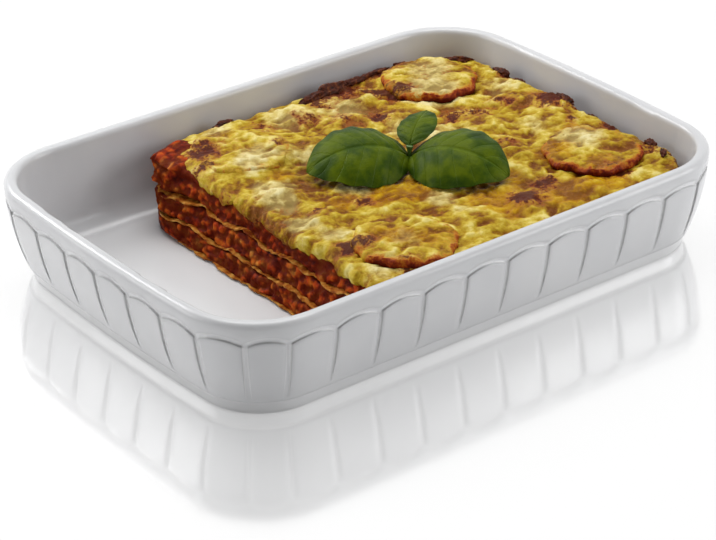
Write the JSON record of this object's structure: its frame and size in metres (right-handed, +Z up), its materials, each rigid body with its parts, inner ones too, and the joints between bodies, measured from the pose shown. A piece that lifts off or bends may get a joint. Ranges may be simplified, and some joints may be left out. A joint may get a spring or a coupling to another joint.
{
  "type": "lasagna dish",
  "caption": "Rectangular glazed ceramic oven dish with arched panels round its outer wall, holding a layered lasagna with one end served and a basil sprig on top.",
  "frame": {"origin": "middle of the dish on the table that its foot stands on", "axes": "+X along the long side, from the served end to the full end; +Y across, away from the near long side; +Z up"},
  "size_m": [0.35, 0.25, 0.0673],
  "materials": {
    "glaze": "gloss",
    "pasta": "satin",
    "ragu": "satin",
    "cheese": "satin",
    "topping": "satin",
    "basil": "satin"
  },
  "bodies": {
    "dish": {"baking_dish": "glaze"},
    "lasagna": {"pasta_sheet_bottom": "pasta", "ragu_bottom": "ragu", "pasta_sheet_lower": "pasta", "ragu_middle": "ragu", "pasta_sheet_upper": "pasta", "ragu_top": "ragu", "cheese_crust": "cheese", "tomato_slice_front": "topping", "tomato_slice_right": "topping", "tomato_slice_back": "topping", "tomato_slice_left": "topping"},
    "basil_sprig": {"basil_stem": "basil", "basil_leaf_left": "basil", "basil_leaf_right": "basil", "basil_leaf_top": "basil"}
  },
  "joints": [
    {"name": "lasagna_lift", "type": "slide", "parent": "dish", "child": "lasagna", "axis": [0, 0, 1], "range_m": [0, 0.07]},
    {"name": "basil_lift", "type": "slide", "parent": "lasagna", "child": "basil_sprig", "axis": [0, 0, 1], "range_m": [0, 0.05]}
  ]
}
